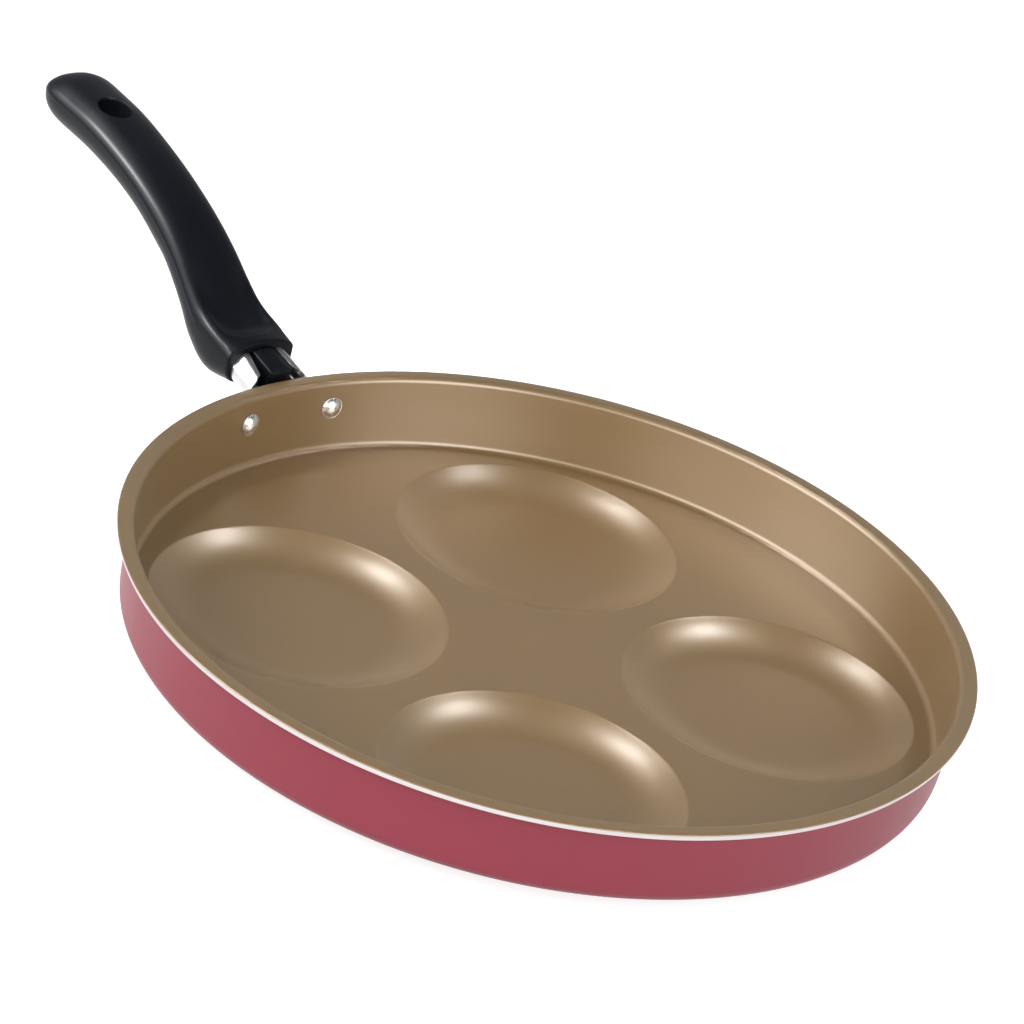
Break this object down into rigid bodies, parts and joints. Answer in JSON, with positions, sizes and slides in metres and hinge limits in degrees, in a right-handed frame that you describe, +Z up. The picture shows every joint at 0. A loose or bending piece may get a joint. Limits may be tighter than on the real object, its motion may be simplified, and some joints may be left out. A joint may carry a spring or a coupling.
{
  "type": "egg frying pan",
  "caption": "Round shallow non-stick frying pan with round egg cups pressed into its floor, a steel neck riveted to its wall, and a curved black grip with a hanging hole.",
  "frame": {"origin": "on the plane of the cup bottoms, under the middle of the overall length and width", "axes": "+X along the handle towards its tip, +Y to the left when looking along +X, +Z up"},
  "size_m": [0.3924, 0.26, 0.083],
  "materials": {
    "pan_coating": "satin gold non-stick coating inside, satin red enamel outside, bare cut edge on the rim",
    "bracket_steel": "polished",
    "rivet_aluminium": "bright, domed",
    "grip_phenolic": "satin moulded phenolic",
    "screw_steel": "zinc plated",
    "insert_brass": "turned"
  },
  "bodies": {
    "root": {"pan_body": "pan_coating", "handle_bracket": "bracket_steel", "rivet_left": "rivet_aluminium", "rivet_right": "rivet_aluminium", "handle_grip": "grip_phenolic", "handle_screw": "screw_steel", "screw_washer": "screw_steel", "screw_insert": "insert_brass"}
  },
  "joints": []
}
